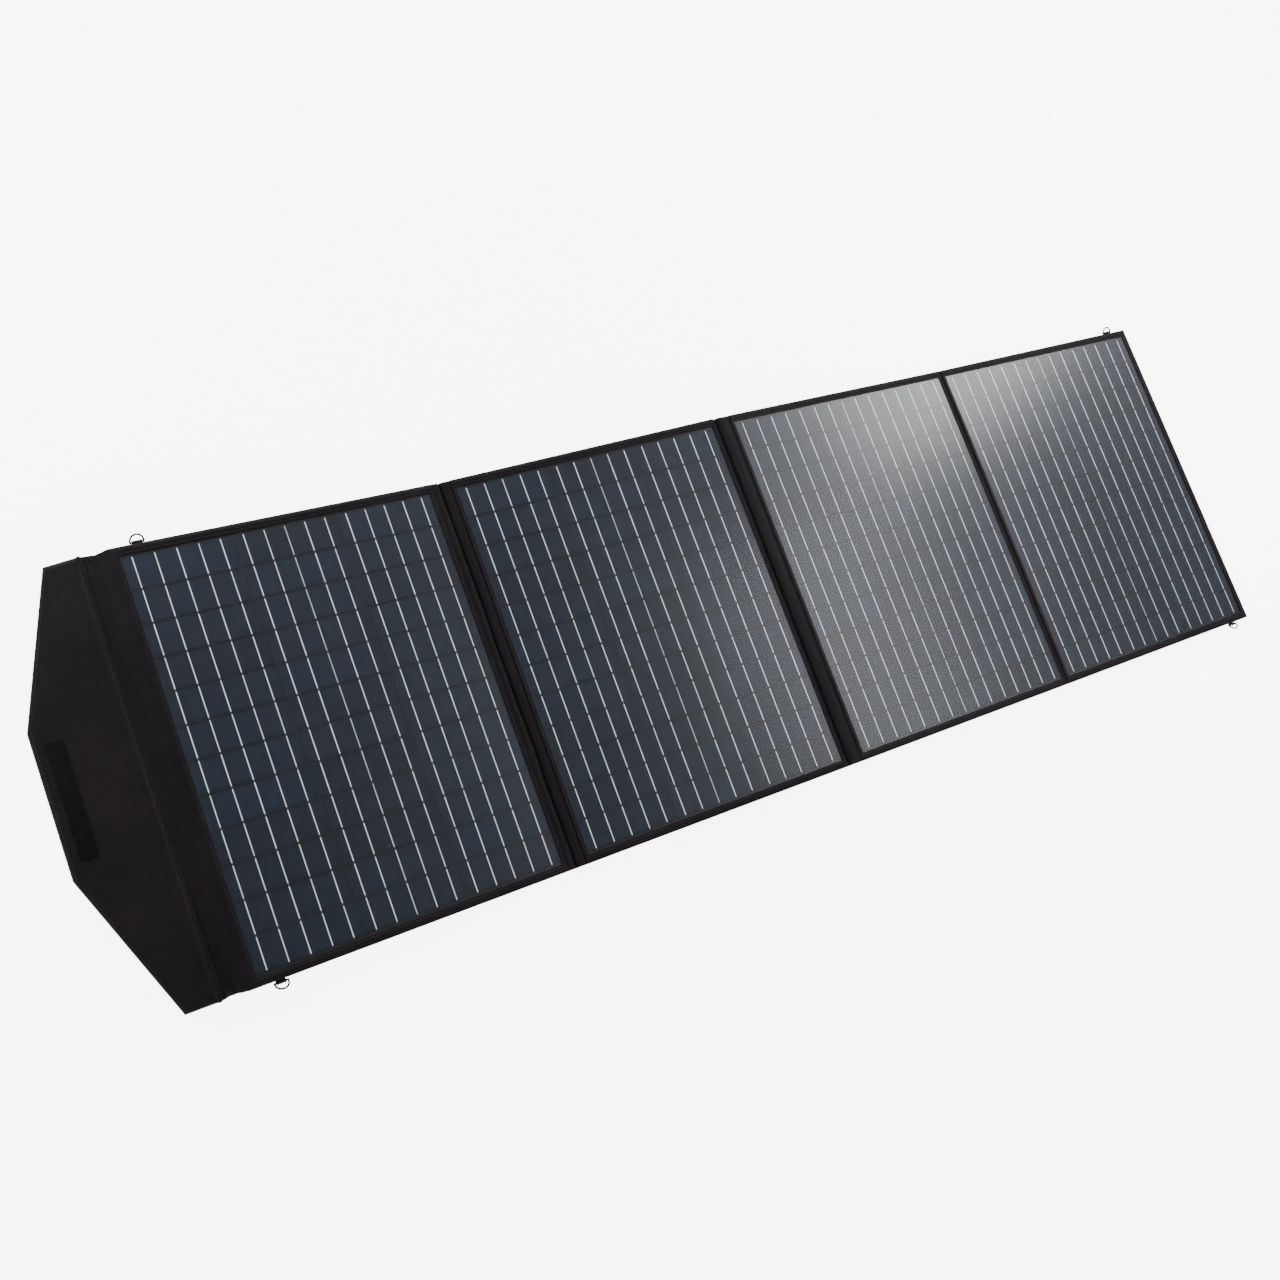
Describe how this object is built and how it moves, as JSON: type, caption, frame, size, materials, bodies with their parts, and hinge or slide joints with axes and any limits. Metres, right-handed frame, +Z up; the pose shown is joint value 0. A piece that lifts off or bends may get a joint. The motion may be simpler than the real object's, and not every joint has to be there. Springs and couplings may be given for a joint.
{
  "type": "folding solar panel blanket",
  "caption": "Folding solar blanket of stiff cell panels in black cloth, with cloth folds, a closing flap, back pocket, support legs and D rings.",
  "frame": {"origin": "centre of the object's footprint on the ground", "axes": "+X runs along the row of panels, away from the closing flap; +Y runs across the panels to the back edge; +Z up, out of the cell faces"},
  "size_m": [2.1998, 0.66, 0.0416],
  "materials": {
    "cloth": "black woven polyester with a faint warm tint",
    "foam": "closed cell foam",
    "board": "glass fibre laminate",
    "cells": "dark blue silicon cells under clear resin",
    "busbar": "bright tinned ribbon",
    "film": "clear satin film",
    "plastic": "black moulded plastic",
    "hook_loop": "black hook and loop",
    "webbing": "black woven webbing",
    "zip": "black coil zip",
    "ring": "dark plated steel wire with bright wear"
  },
  "bodies": {
    "panel_1": {"back_cloth_1": "cloth", "foam_pad_1": "foam", "junction_box_1": "plastic", "backing_board_1": "board", "cells_1": "cells", "busbars_1": "busbar", "front_film_1": "film", "front_cover_1": "cloth", "fold_strip_1_left": "cloth", "ring_tabs_1": "webbing", "pocket_bag": "cloth", "pocket_zip": "zip", "controller_box": "plastic", "output_gland": "plastic"},
    "panel_2": {"back_cloth_2": "cloth", "foam_pad_2": "foam", "junction_box_2": "plastic", "backing_board_2": "board", "cells_2": "cells", "busbars_2": "busbar", "front_film_2": "film", "front_cover_2": "cloth", "fold_strip_1_right": "cloth", "fold_strip_2_left": "cloth", "leg_hinge_2": "webbing"},
    "panel_3": {"back_cloth_3": "cloth", "foam_pad_3": "foam", "junction_box_3": "plastic", "backing_board_3": "board", "cells_3": "cells", "busbars_3": "busbar", "front_film_3": "film", "front_cover_3": "cloth", "fold_strip_2_right": "cloth", "fold_strip_3_left": "cloth", "leg_hinge_3": "webbing"},
    "panel_4": {"back_cloth_4": "cloth", "foam_pad_4": "foam", "junction_box_4": "plastic", "backing_board_4": "board", "cells_4": "cells", "busbars_4": "busbar", "front_film_4": "film", "front_cover_4": "cloth", "fold_strip_3_right": "cloth", "ring_tabs_4": "webbing", "loop_patch": "hook_loop"},
    "gusset": {"gusset_cloth": "cloth", "carry_handle": "webbing"},
    "flap": {"flap_front_cloth": "cloth", "flap_stiffener": "plastic", "flap_back_cloth": "cloth", "hook_patch": "hook_loop"},
    "leg_2": {"leg_2": "cloth"},
    "leg_3": {"leg_3": "cloth"},
    "ring_1_front": {"d_ring_1_front": "ring"},
    "ring_1_back": {"d_ring_1_back": "ring"},
    "ring_4_front": {"d_ring_4_front": "ring"},
    "ring_4_back": {"d_ring_4_back": "ring"}
  },
  "joints": [
    {"name": "fold_1", "type": "hinge", "parent": "panel_2", "child": "panel_1", "pos_m": [-0.42418, 0, 0.00699], "axis": [0, 1, 0], "range_deg": [-5.8, 174.2]},
    {"name": "fold_2", "type": "hinge", "parent": "panel_2", "child": "panel_3", "pos_m": [0.08386, 0, 0.01414], "axis": [0, 1, 0], "range_deg": [-3.63, 176.37]},
    {"name": "fold_3", "type": "hinge", "parent": "panel_3", "child": "panel_4", "pos_m": [0.60242, 0, 0.0082], "axis": [0, -1, 0], "range_deg": [-1.73, 178.27]},
    {"name": "gusset_fold", "type": "hinge", "parent": "panel_1", "child": "gusset", "pos_m": [-0.93886, 0, 0.03657], "axis": [0, 1, 0], "range_deg": [-30, 97.9]},
    {"name": "flap_fold", "type": "hinge", "parent": "gusset", "child": "flap", "pos_m": [-0.97478, 0, 0.03405], "axis": [0, 1, 0], "range_deg": [-30, 100.64]},
    {"name": "leg_2_swing", "type": "hinge", "parent": "panel_2", "child": "leg_2", "pos_m": [0.02282, 0.24, 0.01432], "axis": [-0.9995, 0, -0.0332], "range_deg": [-60, 0]},
    {"name": "leg_3_swing", "type": "hinge", "parent": "panel_3", "child": "leg_3", "pos_m": [0.23386, 0.24, 0.01182], "axis": [-0.9995, 0, 0.0302], "range_deg": [-60, 0]},
    {"name": "ring_1_front_swing", "type": "hinge", "parent": "panel_1", "child": "ring_1_front", "pos_m": [-0.89345, -0.319, 0.03367], "axis": [-0.9977, 0, 0.068], "range_deg": [-120, 60]},
    {"name": "ring_1_back_swing", "type": "hinge", "parent": "panel_1", "child": "ring_1_back", "pos_m": [-0.89345, 0.319, 0.03367], "axis": [0.9977, 0, -0.068], "range_deg": [-120, 60]},
    {"name": "ring_4_front_swing", "type": "hinge", "parent": "panel_4", "child": "ring_4_front", "pos_m": [1.05692, -0.319, 0.0029], "axis": [-1, 0, 0], "range_deg": [-120, 60]},
    {"name": "ring_4_back_swing", "type": "hinge", "parent": "panel_4", "child": "ring_4_back", "pos_m": [1.05692, 0.319, 0.0029], "axis": [1, 0, 0], "range_deg": [-120, 60]}
  ]
}
